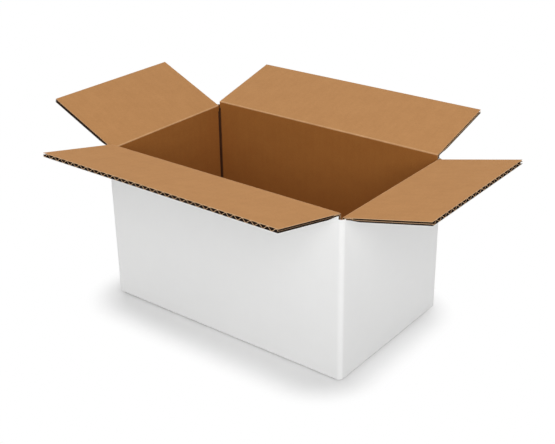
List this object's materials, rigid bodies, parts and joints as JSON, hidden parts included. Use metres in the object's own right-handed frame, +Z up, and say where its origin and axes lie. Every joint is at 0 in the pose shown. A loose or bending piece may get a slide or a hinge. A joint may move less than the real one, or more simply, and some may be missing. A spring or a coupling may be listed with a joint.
{
  "type": "corrugated mailer box",
  "caption": "Open slotted shipping carton of single-wall corrugated board, white outside and brown inside, with hinged top flaps.",
  "frame": {"origin": "on the floor, at the centre of the footprint", "axes": "+Z up out of the opening, +X along the long walls, -Y towards the front"},
  "size_m": [0.4072, 0.3082, 0.1821],
  "materials": {
    "body_board": "corrugated board, smooth white outer liner, plain brown inside",
    "flap_board": "corrugated board, plain brown inner face, white outer face, open flutes at the cut edges"
  },
  "bodies": {
    "box": {"box_body": "body_board"},
    "front_flap": {"front_flap": "flap_board"},
    "right_flap": {"right_flap": "flap_board"},
    "back_flap": {"back_flap": "flap_board"},
    "left_flap": {"left_flap": "flap_board"}
  },
  "joints": [
    {"name": "front_flap_crease", "type": "hinge", "parent": "box", "child": "front_flap", "pos_m": [0, -0.0787, 0.15], "axis": [1, 0, 0], "range_deg": [-167.8, 92.2]},
    {"name": "right_flap_crease", "type": "hinge", "parent": "box", "child": "right_flap", "pos_m": [0.1307, 0, 0.1461], "axis": [0, 1, 0], "range_deg": [-166.9, 93.1]},
    {"name": "back_flap_crease", "type": "hinge", "parent": "box", "child": "back_flap", "pos_m": [0, 0.0787, 0.15], "axis": [-1, 0, 0], "range_deg": [-165.7, 94.3]},
    {"name": "left_flap_crease", "type": "hinge", "parent": "box", "child": "left_flap", "pos_m": [-0.1307, 0, 0.1461], "axis": [0, -1, 0], "range_deg": [-155.1, 104.9]}
  ]
}
